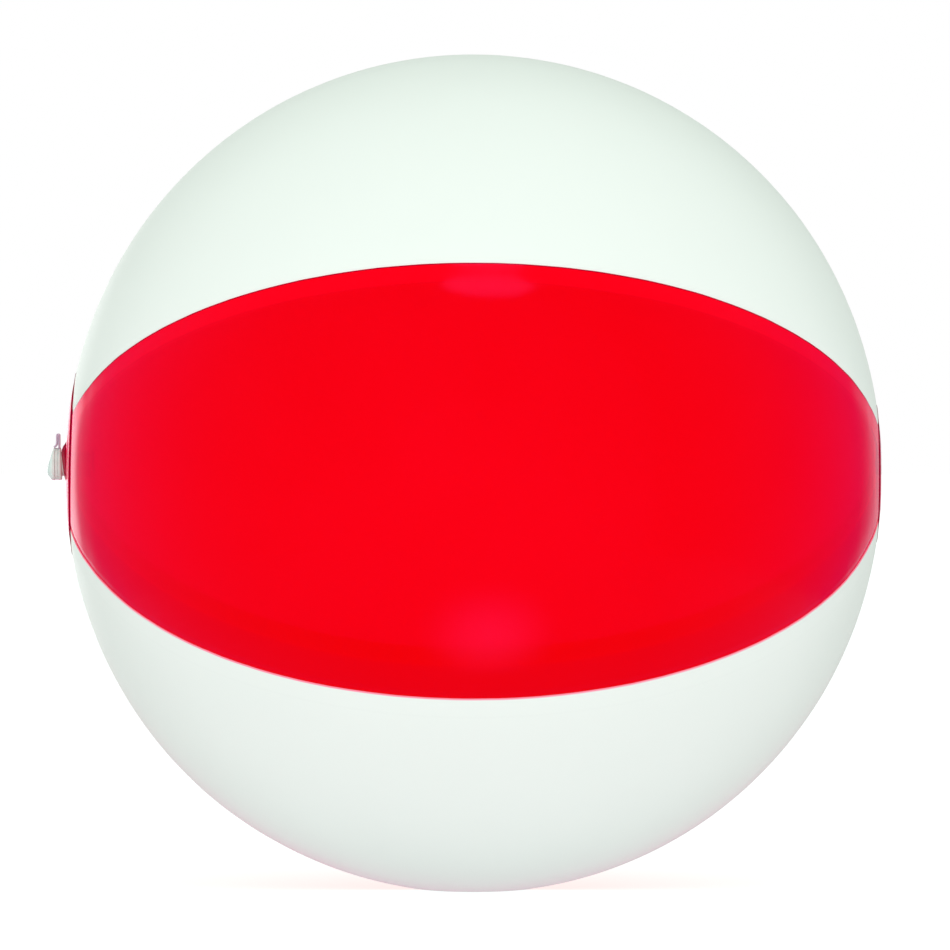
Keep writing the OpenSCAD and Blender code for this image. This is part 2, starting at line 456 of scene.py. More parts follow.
def flatGrid(tree, along, across):  # a grid one by one, and each point's place on it
    grid = addNode(tree, "GeometryNodeMeshGrid", {
        "Size X": 1, "Size Y": 1, "Vertices X": along, "Vertices Y": across})
    place = addNode(tree, "GeometryNodeInputPosition").outputs[0]
    return grid.outputs["Mesh"], addNode(tree, "ShaderNodeSeparateXYZ", {"Vector": place}).outputs


def bentFilm(tree, mesh, uv, gap, place):  # the maps are kept before the bend, as they read the flat place
    flat = addNode(tree, "GeometryNodeStoreNamedAttribute", {
        "Geometry": mesh, "Name": "UVMap", "Value": uv}, data_type="FLOAT2", domain="CORNER")
    marked = addNode(tree, "GeometryNodeStoreNamedAttribute", {
        "Geometry": flat.outputs["Geometry"], "Name": "seamGap", "Value": gap},
        data_type="FLOAT", domain="POINT")
    bent = addNode(tree, "GeometryNodeSetPosition", {
        "Geometry": marked.outputs["Geometry"], "Position": place})
    return bent.outputs["Geometry"]


def smoothed(tree, geometry):
    return addNode(tree, "GeometryNodeSetShadeSmooth", {"Geometry": geometry}).outputs["Geometry"]


def dressed(tree, geometry, material):
    real = addNode(tree, "GeometryNodeRealizeInstances", {"Geometry": geometry})
    return addNode(tree, "GeometryNodeSetMaterial", {
        "Geometry": real.outputs["Geometry"], "Material": material}).outputs["Geometry"]


# Film panels: a grid bent to the meridian arc and a sixth of a turn, with its margin under the next panel

panelSpec = {
    "Sweep": math.radians(60),
    "Tip Spread": 6 * mm,  # how far the seams pass from the pole axis
    "Dip Width": 3 * mm,  # where a panel goes under the next one
    "Groove Depth": 0.45 * mm,  # seams are drawn in
    "Groove Width": 6 * mm,
    "Pucker Height": 0.32 * mm,
    "Pucker Pitch": 9 * mm,
    "Pucker Reach": 9 * mm,
    "Swell Height": 0.2 * mm,  # slow unevenness of the blown film
    "Swell Size": 45 * mm,
    "Tip Calm": 24 * mm,  # grooves and puckers die away towards the end discs
    "Rest Softness": 0.8 * mm,
    "Along": 300,
    "Across": 84,
    "Seed": 3.7,
}
panels = [  # counted by their turn about the poles, from the floor towards the rear
    ("lowerRearRedFilm", "lower_rear_red_panel", redFilm, "red_film"),
    ("rearWhiteFilm", "rear_white_panel", whiteFilm, "white_film"),
    ("upperRearRedFilm", "upper_rear_red_panel", redFilm, "red_film"),
    ("upperWhiteFilm", "upper_white_panel", whiteFilm, "white_film"),
    ("frontRedFilm", "front_red_panel", redFilm, "red_film"),
    ("lowerWhiteFilm", "lower_white_panel", whiteFilm, "white_film"),
]


def makePanelTree():
    mainShare = 0.9  # the rest of the grid is the margin
    crowding = 0.72  # draws grid lines to the seams
    lapLimit = 0.45  # of the next panel's width, at its narrow tips
    dipFilms = 1.1  # a margin dips by a little more than the film
    seamStep = 7.3  # sets the puckers of the seams apart
    tree, given, result = newTree("filmPanel", "GeometryNodeTree", {
        **floats("Start Turn", "Sweep", "Tip Spread", "Start Seam", "End Seam", "Ball Radius",
                 "Meridian Radius", "Pole Offset", "Centre Height", "Tip Angle", "Valve Reach",
                 "Plain Reach", "Film", "Lap Width", "Dip Width", "Groove Depth", "Groove Width",
                 "Pucker Height", "Pucker Pitch", "Pucker Reach", "Swell Height", "Swell Size",
                 "Tip Calm", "Rest Softness", "Seed"),
        "Along": "NodeSocketInt", "Across": "NodeSocketInt", "Material": "NodeSocketMaterial",
    }, {"Geometry": "NodeSocketGeometry"})
    do = functools.partial(calc, tree)

    grid, spot = flatGrid(tree, given["Along"], given["Across"])
    across = do("ADD", spot["Y"], 0.5)
    main = do("MINIMUM", do("DIVIDE", across, mainShare), 1)
    lap = do("MAXIMUM", do("DIVIDE", do("SUBTRACT", across, mainShare), 1 - mainShare), 0)
    wave = do("SINE", do("MULTIPLY", main, math.tau))
    share = do("MULTIPLY_ADD", wave, -crowding / math.tau, main)

    # The point on the bare ball
    lean = do("MULTIPLY", do("MULTIPLY", spot["X"], 2), given["Tip Angle"])
    outward = do("COSINE", lean)
    radial = do("MULTIPLY_ADD", given["Meridian Radius"], outward, given["Pole Offset"])
    axial = do("MULTIPLY", given["Meridian Radius"], do("SINE", lean))
    swing = do("ARCSINE", do("DIVIDE", given["Tip Spread"], given["Ball Radius"]))
    spread = do("SUBTRACT", do("ARCSINE", do("DIVIDE", given["Tip Spread"], radial)), swing)
    sweep = do("MULTIPLY_ADD", spread, 2, given["Sweep"])
    nextSweep = do("MULTIPLY_ADD", spread, -2, given["Sweep"])
    widest = do("MULTIPLY", do("MULTIPLY", nextSweep, radial), lapLimit)
    lapGap = do("MULTIPLY", lap, do("MINIMUM", given["Lap Width"], widest))
    turn = do("ADD", do("MULTIPLY_ADD", share, sweep, do("SUBTRACT", given["Start Turn"], spread)),
              do("DIVIDE", lapGap, radial))
    side = do("SINE", turn)
    down = do("COSINE", turn)
    normal = combined(tree, do("SINE", lean), do("MULTIPLY", outward, side),
                      do("MULTIPLY", do("MULTIPLY", outward, down), -1))
    bare = combined(tree, axial, do("MULTIPLY", radial, side),
                    do("SUBTRACT", given["Centre Height"], do("MULTIPLY", radial, down)))

    # How far it lies from its two seams
    width = do("MULTIPLY", sweep, radial)
    startGap = do("MULTIPLY", share, width)
    endGap = do("MULTIPLY", do("SUBTRACT", 1, share), width)
    pastGap = do("ADD", endGap, lapGap)
    along = do("MULTIPLY", given["Meridian Radius"], lean)

    def seamLift(gap, seam):  # a drawn-in seam with puckers that die away from it
        ratio = do("DIVIDE", gap, given["Groove Width"])
        groove = do("EXPONENT", do("MULTIPLY", do("MULTIPLY", ratio, ratio), -1))
        ripple = noise(tree, combined(
            tree, do("DIVIDE", along, given["Pucker Pitch"]),
            do("MULTIPLY_ADD", seam, seamStep, given["Seed"])), 1, 1)
        fade = do("EXPONENT", do("DIVIDE", do("MULTIPLY", gap, -1), given["Pucker Reach"]))
        pucker = do("MULTIPLY", do("MULTIPLY", do("SUBTRACT", ripple, 0.5), fade), given["Pucker Height"])
        return do("SUBTRACT", pucker, do("MULTIPLY", groove, given["Groove Depth"]))

    swell = noise(tree, scaled(tree, bare, do("DIVIDE", 1, given["Swell Size"])), 1, 0)
    uneven = do("MULTIPLY", do("SUBTRACT", swell, 0.5), given["Swell Height"])
    lift = do("ADD", uneven, do("ADD", seamLift(startGap, given["Start Seam"]),
                                seamLift(pastGap, given["End Seam"])))
    atValve = do("LESS_THAN", spot["X"], 0)
    discReach = do("MULTIPLY_ADD", atValve, do("SUBTRACT", given["Valve Reach"], given["Plain Reach"]),
                   given["Plain Reach"])
    clearOfDisc = ramp(tree, radial, discReach, do("ADD", discReach, given["Tip Calm"]))
    under = ramp(tree, endGap, 0, given["Dip Width"], 1, 0)
    dip = do("MULTIPLY", under, do("MULTIPLY", given["Film"], dipFilms))
    height = do("SUBTRACT", do("MULTIPLY", lift, clearOfDisc), dip)

    # The finished point, flat where the ball rests
    raised = addNode(tree, "ShaderNodeVectorMath", {
        0: bare, 1: scaled(tree, normal, height)}, operation="ADD").outputs["Vector"]
    free = addNode(tree, "ShaderNodeSeparateXYZ", {"Vector": raised}).outputs
    rested = combined(tree, free["X"], free["Y"],
                      do("SMOOTH_MAX", free["Z"], dip, given["Rest Softness"]))

    bent = bentFilm(tree, grid, combined(tree, along, startGap), startGap, rested)
    facing = addNode(tree, "GeometryNodeFlipFaces", {"Mesh": bent}).outputs["Mesh"]
    feed(tree, result["Geometry"], dressed(tree, smoothed(tree, facing), given["Material"]))
    return tree


def makePanels():
    tree = makePanelTree()
    common = {
        **panelSpec,
        "Ball Radius": ball["radius"],
        "Meridian Radius": meridianRadius,
        "Pole Offset": poleOffset,
        "Centre Height": ball["centreZ"],
        "Tip Angle": tipAngle,
        "Valve Reach": ball["valveRadius"] + valveRise,
        "Plain Reach": ball["plainRadius"],
        "Film": ball["film"],
        "Lap Width": ball["margin"],
    }
    for index, (name, node, material, slot) in enumerate(panels):
        red = material == redFilm
        film = grown(name, tree, {
            **common,
            "Tip Spread": panelSpec["Tip Spread"] * (1 if red else -1),  # red ends are broad
            "Start Turn": index * panelSpec["Sweep"],
            "Start Seam": float(index),
            "End Seam": float((index + 1) % len(panels)),
            "Material": material,
        })
        panel = thickened(film, ball["film"], redFilmInside if red else None)
        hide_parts(node)
        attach(panel, "ball")


makePanels()
print("film panels made:", len(panels))


# End discs: rings of film from the hole's edge, or the middle, out to the rim over the panels' tips

discSpec = {
    "Weld Width": ball["discWeld"],
    "Weld Depth": 0.07 * mm,
    "Dark Width": 4.5 * mm,  # of the weld, from the rim
    "Pucker Height": 0.3 * mm,
    "Pucker Count": 34.0,
    "Lift": -0.1 * mm,  # pressed into the panels' tips
    "Rings": 70,
    "Steps": 241,
    "Seed": 8.1,
}
valveHole = 7.5 * mm


def makeDiscTree():
    rimStart = 0.3 * mm  # where the pressed ring starts inside the rim
    pressSlope = 0.9 * mm
    puckerStart = 2 * mm  # puckers grow up to here from the weld, and end further in
    puckerEnd = 9 * mm
    rippleLevel = 0.4  # noise above it lifts the film
    smallest = 0.001 * mm  # keeps the middle from a division by zero
    mergeGap = 0.002 * mm
    tree, given, result = newTree("endDisc", "GeometryNodeTree", {
        **floats("Disc Radius", "Hole Radius", "Rise", "Meridian Radius", "Pole Offset", "Centre Height",
                 "Film", "Weld Width", "Weld Depth", "Dark Width", "Pucker Height", "Pucker Count",
                 "Lift", "Side", "Seed"),
        "Rings": "NodeSocketInt", "Steps": "NodeSocketInt",
        "Material": "NodeSocketMaterial", "Weld Material": "NodeSocketMaterial",
    }, {"Geometry": "NodeSocketGeometry"})
    do = functools.partial(calc, tree)
    grid, spot = flatGrid(tree, given["Rings"], given["Steps"])
    out = do("ADD", spot["X"], 0.5)
    turn = do("MULTIPLY", do("ADD", spot["Y"], 0.5), math.tau)
    side = do("SINE", turn)
    up = do("COSINE", turn)
    reach = do("MULTIPLY_ADD", out, do("SUBTRACT", given["Disc Radius"], given["Hole Radius"]),
               given["Hole Radius"])
    across = do("MULTIPLY", reach, side)
    height = do("MULTIPLY_ADD", reach, up, given["Rise"])
    radius = do("SQRT", do("MULTIPLY_ADD", across, across, do("MULTIPLY", height, height)))
    beyond = do("MAXIMUM", do("SUBTRACT", radius, given["Pole Offset"]), 0)
    lean = do("ARCSINE", do("DIVIDE", beyond, given["Meridian Radius"]))

    # The weld ring is pressed flat, and the film puckers on its inner side
    rimGap = do("SUBTRACT", given["Disc Radius"], reach)
    pressed = do("MULTIPLY", ramp(tree, rimGap, rimStart, pressSlope),
                 ramp(tree, rimGap, do("SUBTRACT", given["Weld Width"], pressSlope),
                      given["Weld Width"], 1, 0))
    rippleSize = do("DIVIDE", given["Pucker Count"], math.tau)
    ripple = noise(tree, combined(
        tree, do("MULTIPLY", side, rippleSize), do("MULTIPLY", up, rippleSize), given["Seed"]), 1, 1)
    inside = do("MAXIMUM", do("SUBTRACT", rimGap, given["Weld Width"]), 0)
    zone = do("MULTIPLY", ramp(tree, inside, 0, puckerStart),
              ramp(tree, inside, puckerStart, puckerEnd, 1, 0))
    pucker = do("MULTIPLY", do("MULTIPLY", do("SUBTRACT", ripple, rippleLevel), zone),
                given["Pucker Height"])
    lift = do("ADD", do("ADD", given["Film"], given["Lift"]),
              do("SUBTRACT", pucker, do("MULTIPLY", pressed, given["Weld Depth"])))

    domed = do("ADD", given["Meridian Radius"], lift)
    axial = do("MULTIPLY", domed, do("COSINE", lean))
    spread = do("DIVIDE", do("MULTIPLY_ADD", lift, do("SINE", lean), radius),
                do("MAXIMUM", radius, smallest))
    place = combined(tree, do("MULTIPLY", axial, given["Side"]),
                     do("MULTIPLY", do("MULTIPLY", across, spread), given["Side"]),
                     do("MULTIPLY_ADD", height, spread, given["Centre Height"]))
    bent = bentFilm(tree, grid, combined(tree, across, height), rimGap, place)
    closed = addNode(tree, "GeometryNodeMergeByDistance", {
        "Geometry": bent, "Distance": mergeGap}).outputs["Geometry"]
    painted = dressed(tree, smoothed(tree, closed), given["Material"])
    fromRim = addNode(tree, "GeometryNodeInputNamedAttribute", {"Name": "seamGap"}, data_type="FLOAT")
    welded = addNode(tree, "GeometryNodeSetMaterial", {
        "Geometry": painted, "Material": given["Weld Material"],
        "Selection": do("LESS_THAN", fromRim.outputs["Attribute"], given["Dark Width"])})
    feed(tree, result["Geometry"], welded.outputs["Geometry"])
    return tree


def facedOutwards(disc, side):  # its normals agree with each other and point away from the ball
    shell = bmesh.new()
    shell.from_mesh(disc.data)
    bmesh.ops.recalc_face_normals(shell, faces=shell.faces)
    middle = max(shell.faces, key=lambda face: abs(face.calc_center_median().x))
    if middle.normal.x * side < 0:
        bmesh.ops.reverse_faces(shell, faces=shell.faces)
    shell.to_mesh(disc.data)
    shell.free()
    return disc


def makeDiscs():
    tree = makeDiscTree()
    common = {
        **discSpec,
        "Meridian Radius": meridianRadius,
        "Pole Offset": poleOffset,
        "Centre Height": ball["centreZ"],
        "Film": ball["film"],
        "Material": redFilm,
        "Weld Material": redWeld,
    }
    ends = [
        ("plainEndFilm", "plain_end_disc", {
            "Side": 1.0, "Disc Radius": ball["plainRadius"], "Hole Radius": 0.0, "Rise": 0.0}),
        ("valveEndFilm", "valve_end_disc", {
            "Side": -1.0, "Disc Radius": ball["valveRadius"], "Hole Radius": valveHole, "Rise": valveRise}),
    ]
    for name, node, own in ends:
        film = facedOutwards(grown(name, tree, {**common, **own}), own["Side"])
        disc = thickened(film, ball["film"], redFilmInside)
        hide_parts(node)
        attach(disc, "ball")


makeDiscs()
print("end discs made")


# Valve: turned pieces round its axis, with heights counted outwards from the end disc

valve = {
    "stemRadius": 4 * mm,
    "boreRadius": 2.6 * mm,
    "stemDepth": 9 * mm,
    "lipRadius": 5.3 * mm,
    "lipFoot": 2.7 * mm,
    "edgeRound": 0.3 * mm,
    "meetRound": 0.12 * mm,  # of the edges at which lip, ring and plug's head meet
    "mouth": 3.7 * mm,
    "seatRadius": 5.4 * mm,
    "seatHeight": 1 * mm,
    "airHole": 1.8 * mm,
    "droop": 0.65,  # the soft valve leans down, so its collar is lower underneath
    "droopReach": 4.65 * mm,
}


def drooped(up):  # share of the height that is left, above or below the valve's axis
    return 1 - valve["droop"] * min(max(0.5 - 0.5 * up / valve["droopReach"], 0), 1)


def rounded(points, radius, steps=4):  # a closed outline with round corners, some of their own radius
    longestCut = 0.45  # of the stretch beside a corner
    outline = []
    for index, (r, h, *own) in enumerate(points):
        if r == 0:
            outline.append((r, h))
            continue
        ends = []
        for other in (points[index - 1], points[(index + 1) % len(points)]):
            length = math.hypot(other[0] - r, other[1] - h)
            cut = min(own[0] if own else radius, longestCut * length) / length
            ends.append((r + (other[0] - r) * cut, h + (other[1] - h) * cut))
        for step in range(steps + 1):
            t = step / steps
            outline.append(tuple(
                (1 - t) ** 2 * a + 2 * t * (1 - t) * b + t ** 2 * c
                for a, b, c in zip(ends[0], (r, h), ends[1])))
    return outline


def finer(outline, longest):  # the same outline with its long stretches split
    points = []
    for (r, h), (nextR, nextH) in zip(outline, outline[1:] + outline[:1]):
        count = max(1, math.ceil(math.hypot(nextR - r, nextH - h) / longest))
        for step in range(count):
            t = step / count
            points.append((r + (nextR - r) * t, h + (nextH - h) * t))
    return points


def turned(name, outline, material, steps=72, trim=None):  # a closed outline turned about the valve's axis
    shape = bmesh.new()
    rings = []
    for r, h in outline:
        ring = []
        for step in range(steps if r > 0 else 1):
            side = r * math.sin(math.tau * step / steps)
            up = r * math.cos(math.tau * step / steps)
            out = trim(up, h) if trim else h
            ring.append(shape.verts.new((-ball["poleX"] - out, side, ball["valveZ"] + up)))
        rings.append(ring)
    for ring, after in zip(rings, rings[1:] + rings[:1]):
        for step in range(steps):
            corners = [ring[step % len(ring)], ring[(step + 1) % len(ring)],
                       after[(step + 1) % len(after)], after[step % len(after)]]
            corners = list(dict.fromkeys(corners))
            if len(corners) > 2:
                shape.faces.new(corners)
    bmesh.ops.recalc_face_normals(shape, faces=shape.faces)
    mesh = bpy.data.meshes.new(name)
    shape.to_mesh(mesh)
    shape.free()
    mesh.materials.append(material)
    mesh.shade_smooth()
    mesh.set_sharp_from_angle(angle=valveCrease)
    return linked(bpy.data.objects.new(name, mesh))


def makeStem(spec):
    seatTop = spec["seatHeight"] - spec["stemDepth"]
    outline = [
        (spec["airHole"], -spec["stemDepth"]),
        (spec["seatRadius"], -spec["stemDepth"]),
        (spec["seatRadius"], seatTop),
        (spec["stemRadius"], seatTop),
        (spec["stemRadius"], spec["lipFoot"]),
        (spec["lipRadius"], spec["lipFoot"], spec["meetRound"]),
        (spec["lipRadius"], spec["mouth"], spec["meetRound"]),
        (spec["boreRadius"], spec["mouth"]),
        (spec["boreRadius"], seatTop),
        (spec["airHole"], seatTop),
    ]
    stem = turned("stemTube", rounded(outline, spec["edgeRound"]), clearVinyl)
    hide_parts("valve_stem")
    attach(stem, "stem")


makeStem(valve)

plugSpec = {
    "seat": 3.75 * mm,
    "headRadius": 5.45 * mm,
    "headHeight": 3 * mm,  # on the side away from the strap
    "thinEdge": 0.65 * mm,  # on the strap's side
    "bevelHeight": 1.9 * mm,
    "bevelWidth": 2.6 * mm,
    "rimRound": 1.2 * mm,  # of the head's outer edges
    "spigotRadius": 2.55 * mm,
    "spigotLength": 6.5 * mm,
    "noseRadius": 1.8 * mm,
    "noseHeight": 1.6 * mm,
    "hollowRadius": 0.9 * mm,
    "hollowFloor": 1.2 * mm,
    "fineness": 0.25 * mm,  # longest stretch of its outline
    "steps": 96,
}


def makePlug(spec):
    tip = spec["seat"] - spec["spigotLength"]
    bevelFoot = spec["seat"] + spec["headHeight"] - spec["bevelHeight"]
    faceRadius = spec["headRadius"] - spec["bevelWidth"]
    bevelSlope = spec["bevelHeight"] / spec["bevelWidth"]
    faceSlope = (spec["headHeight"] - spec["thinEdge"]) / (spec["headRadius"] + faceRadius)
    crown = bevelFoot + (spec["headRadius"] - spec["hollowRadius"]) * bevelSlope
    outline = [
        (0, tip),
        (spec["noseRadius"], tip),
        (spec["spigotRadius"], tip + spec["noseHeight"]),
        (spec["spigotRadius"], spec["seat"]),
        (spec["headRadius"], spec["seat"], valve["meetRound"]),
        (spec["headRadius"], bevelFoot, spec["rimRound"]),
        (spec["hollowRadius"], crown),
        (spec["hollowRadius"], tip + spec["hollowFloor"]),
        (0, tip + spec["hollowFloor"]),
    ]

    def sloped(up, out):  # the outer face slopes to the strap's side, with its edge rounded off
        face = spec["seat"] + spec["headHeight"] - (up + faceRadius) * faceSlope
        blend = max(spec["rimRound"] - abs(out - face), 0) / spec["rimRound"]
        return min(out, face) - blend * blend * spec["rimRound"] / 4

    detailed = finer(rounded(outline, valve["edgeRound"]), spec["fineness"])
    plug = turned("plugStopper", detailed, clearVinyl, spec["steps"], sloped)
    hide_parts("plug")
    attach(plug, "plug")


makePlug(plugSpec)

collarSpec = {
    "footRadius": valveHole,
    "footEdge": 0.1 * mm,
    "footFlange": 1 * mm,
    "topRadius": 4.15 * mm,
    "height": 1.6 * mm,
    "outerBend": (0.45, 0.72),  # how far in and up the cone bends, as shares of its run and height
    "innerBend": (0.5, 0.5),
    "edgeRound": 0.45 * mm,
    "edgeSteps": 5,
    "rimHeight": 0.45 * mm,  # from here on it stays with the stem
    "wall": 0.5 * mm,
    "steps": 96,
}


def makeCollar(spec):
    wall = spec["wall"]
    footRadius = spec["footRadius"]
    run = footRadius - spec["topRadius"]
    outerIn, outerUp = spec["outerBend"]
    innerIn, innerUp = spec["innerBend"]
    outline = [
        (footRadius, -ball["film"]),
        (footRadius, spec["footEdge"]),
        (footRadius - outerIn * run, outerUp * spec["height"]),
        (spec["topRadius"] + wall, spec["height"]),
        (spec["topRadius"], spec["height"]),
        (spec["topRadius"], spec["height"] - wall),
        (footRadius - innerIn * run - wall, innerUp * spec["height"]),
        (footRadius - spec["footFlange"] - wall, -ball["film"]),
    ]

    def leaning(up, out):  # only what stands out of the disc
        return max(out, 0) * drooped(up) + min(out, 0)

    soft = rounded(outline, spec["edgeRound"], spec["edgeSteps"])
    collar = turned("collarFilm", soft, redCollar, spec["steps"], leaning)
    farAway = [2 * footRadius] * len(collar.data.vertices)  # no seam shows on it
    gap = collar.data.attributes.new("seamGap", "FLOAT", "POINT")
    gap.data.foreach_set("value", farAway)
    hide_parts("valve_collar")
    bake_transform(collar)


makeCollar(collarSpec)

strapSpec = {
    "Width": 4 * mm,
    "Thickness": 0.65 * mm,
    "ringRadius": 5.4 * mm,
    "ringBore": 4.05 * mm,
    "ringFoot": 1.75 * mm,
    "ringHeight": 0.9 * mm,
    "ringLean": 0.3,  # share of the collar's lean that the ring's foot follows
    "footRound": 0.4 * mm,
    "rootDepth": 0.5 * mm,  # the lower leg starts inside the ring
    "foldRadius": 0.36 * mm,
    "foldSteps": 10,
    "reach": 10.2 * mm,
    "endHeight": 4.075 * mm,
    "endReach": 5.6 * mm,
    "legBend": 7,  # how late the upper leg leaves the lower one
    "legShares": (0.25, 0.45, 0.6, 0.72, 0.8, 0.86, 0.91, 0.96, 1),  # closer where it bends
    "edgeBevel": 0.15 * mm,
}


def makeStrapTree():
    tree, given, result = newTree("strapBand", "GeometryNodeTree", {
        "Geometry": "NodeSocketGeometry", **floats("Width", "Thickness"),
        "Material": "NodeSocketMaterial"}, {"Geometry": "NodeSocketGeometry"})
    section = addNode(tree, "GeometryNodeCurvePrimitiveQuadrilateral", {
        "Width": given["Thickness"], "Height": given["Width"]})
    band = addNode(tree, "GeometryNodeCurveToMesh", {
        "Curve": given["Geometry"], "Profile Curve": section.outputs["Curve"], "Fill Caps": True})
    feed(tree, result["Geometry"], dressed(tree, band.outputs["Mesh"], given["Material"]))
    return tree


def strapPath(spec):  # up from the ring, round the fold and back down to the plug's head
    legHeight = spec["ringFoot"] + spec["ringHeight"] - spec["Thickness"] / 2
    foldUp = spec["reach"] - spec["foldRadius"] - spec["Thickness"] / 2
    foldHeight = legHeight + spec["foldRadius"]
    path = [
        (spec["ringRadius"] - spec["rootDepth"], legHeight),
        (0.5 * (spec["ringRadius"] + foldUp), legHeight),
    ]
    for step in range(spec["foldSteps"] + 1):
        angle = -math.pi / 2 + math.pi * step / spec["foldSteps"]
        path.append((foldUp + spec["foldRadius"] * math.cos(angle),
                     foldHeight + spec["foldRadius"] * math.sin(angle)))
    legEnd = path[-1][1]
    for share in spec["legShares"]:
        path.append((foldUp + (spec["endReach"] - foldUp) * share,
                     legEnd + (spec["endHeight"] - legEnd) * share ** spec["legBend"]))
    return path


def strapBand(spec):  # the mesh of the folded band
    line = bpy.data.curves.new("strapLine", "CURVE")
    line.dimensions = "3D"
    spline = line.splines.new("POLY")
    path = strapPath(spec)
    spline.points.add(len(path) - 1)
    for point, (up, out) in zip(spline.points, path):
        point.co = (-ball["poleX"] - out, 0, ball["valveZ"] + up, 1)
    route = linked(bpy.data.objects.new("strapRoute", line))
    addTree(route, makeStrapTree(), {**spec, "Material": strapVinyl})
    mesh = evaluatedMesh(route)
    bpy.data.objects.remove(route)
    return mesh


def makeStrap(spec):
    bandMesh = strapBand(spec)
    top = spec["ringFoot"] + spec["ringHeight"]

    def leaning(up, out):  # the ring's foot follows the collar a little
        foot = spec["ringFoot"] * (1 - spec["ringLean"] * (1 - drooped(up)))
        return top - (top - out) * (top - foot) / spec["ringHeight"]

    outline = [
        (spec["ringBore"], spec["ringFoot"]),
        (spec["ringRadius"], spec["ringFoot"], spec["footRound"]),
        (spec["ringRadius"], top),
        (spec["ringBore"], top),
    ]
    ring = turned("plugStrap", rounded(outline, valve["meetRound"]), clearVinyl, trim=leaning)
    ring.data.materials.append(strapVinyl)
    ringFaces = len(ring.data.polygons)
    both = bmesh.new()
    both.from_mesh(ring.data)
    both.from_mesh(bandMesh)
    both.faces.ensure_lookup_table()
    for face in both.faces[ringFaces:]:
        face.material_index = 1
    both.to_mesh(ring.data)
    both.free()
    edge = ring.modifiers.new("edge", "BEVEL")
    edge.width = spec["edgeBevel"]
    edge.segments = 2
    edge.limit_method = "ANGLE"
    madePlain(ring)
    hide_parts("plug_strap")
    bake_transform(ring)  # it opens at the fold


makeStrap(strapSpec)

for node in ("valve_flange", "check_flap"):  # their CAD shapes stay, with the clear vinyl on them
    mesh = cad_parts[node].data
    mesh.materials.clear()
    mesh.materials.append(clearVinyl)
print("valve made")


# Studio: pale floor, white surround and soft light

studio = {
    "roomLevel": 0.94,  # plain light on the ball
    "throughLevel": 0.15,  # what shows straight through the film
    "frontLevel": 0.14,  # dark side of the room, behind the camera, as mirrored in the film
    "frontEdge": -0.6,  # where the side walls end towards the camera
    "frontBlend": 0.05,
    "leftLevel": 0.12,  # the side walls
    "rightLevel": 0.05,
    "wallBlend": 0.3,
    "tableLevel": 0.17,
    "tableEdge": -0.32,  # how far down the table's edge shows
    "tableBlend": 0.03,
    "backdropFull": math.radians(22),  # half angle of the white backdrop
    "backdropNone": math.radians(28.5),
    "backdropTurn": math.radians(2),  # it reaches further to the left
    "backdropLevel": 1.45,
    "backdropRight": 0.1,  # share of it on the right
    "backdropBlend": 0.1,
    "backdropFlat": 0.06,  # how far up and down it is at its brightest
    "backdropTall": 0.2,
    "fadeFull": math.radians(20),  # its slow fade into the room
    "fadeNone": math.radians(46),
    "fadeLevel": 0.56,
    "floorColour": (0.92, 0.92, 0.92, 1),
    "floorGlow": 0.66,
    "glowColour": (1.025, 0.955, 1.03, 1),
    "seenColour": (0.92, 1.0, 0.97, 1),
    "glowSeen": 1.3,  # as the camera sees it
    "glowThrough": 0.16,  # as it shows through the film
    "glowCast": 1.06,  # on the ball
    "floorSize": 14.0,
    "floorDrop": 0.3 * mm,
}
cards = [  # soft light patches mirrored in the film: where they stand, how wide and high, how bright
    {"way": (0.07, -0.53, 0.845), "wide": 0.23, "high": 0.15, "core": 0.7, "level": 2.8},
    {"way": (0.07, -0.73, -0.68), "wide": 0.34, "high": 0.28, "core": 0.0, "level": 2.6},
]
tableGlow = {  # light that falls through the red film onto the table behind
    "way": (0, 0.94, -0.33), "wide": 0.42, "high": 0.32, "core": 0.35, "level": 1.0,
    "colour": (1, 0.02, 0.45, 1),
}
lamps = [
    {"name": "topSoftbox", "place": (0, -1.6, 2.4), "size": (1.0, 0.6), "power": 6},
    {"name": "frontFill", "place": (0, -3.6, 0.5), "size": (2.6, 1.6), "power": 26},
]


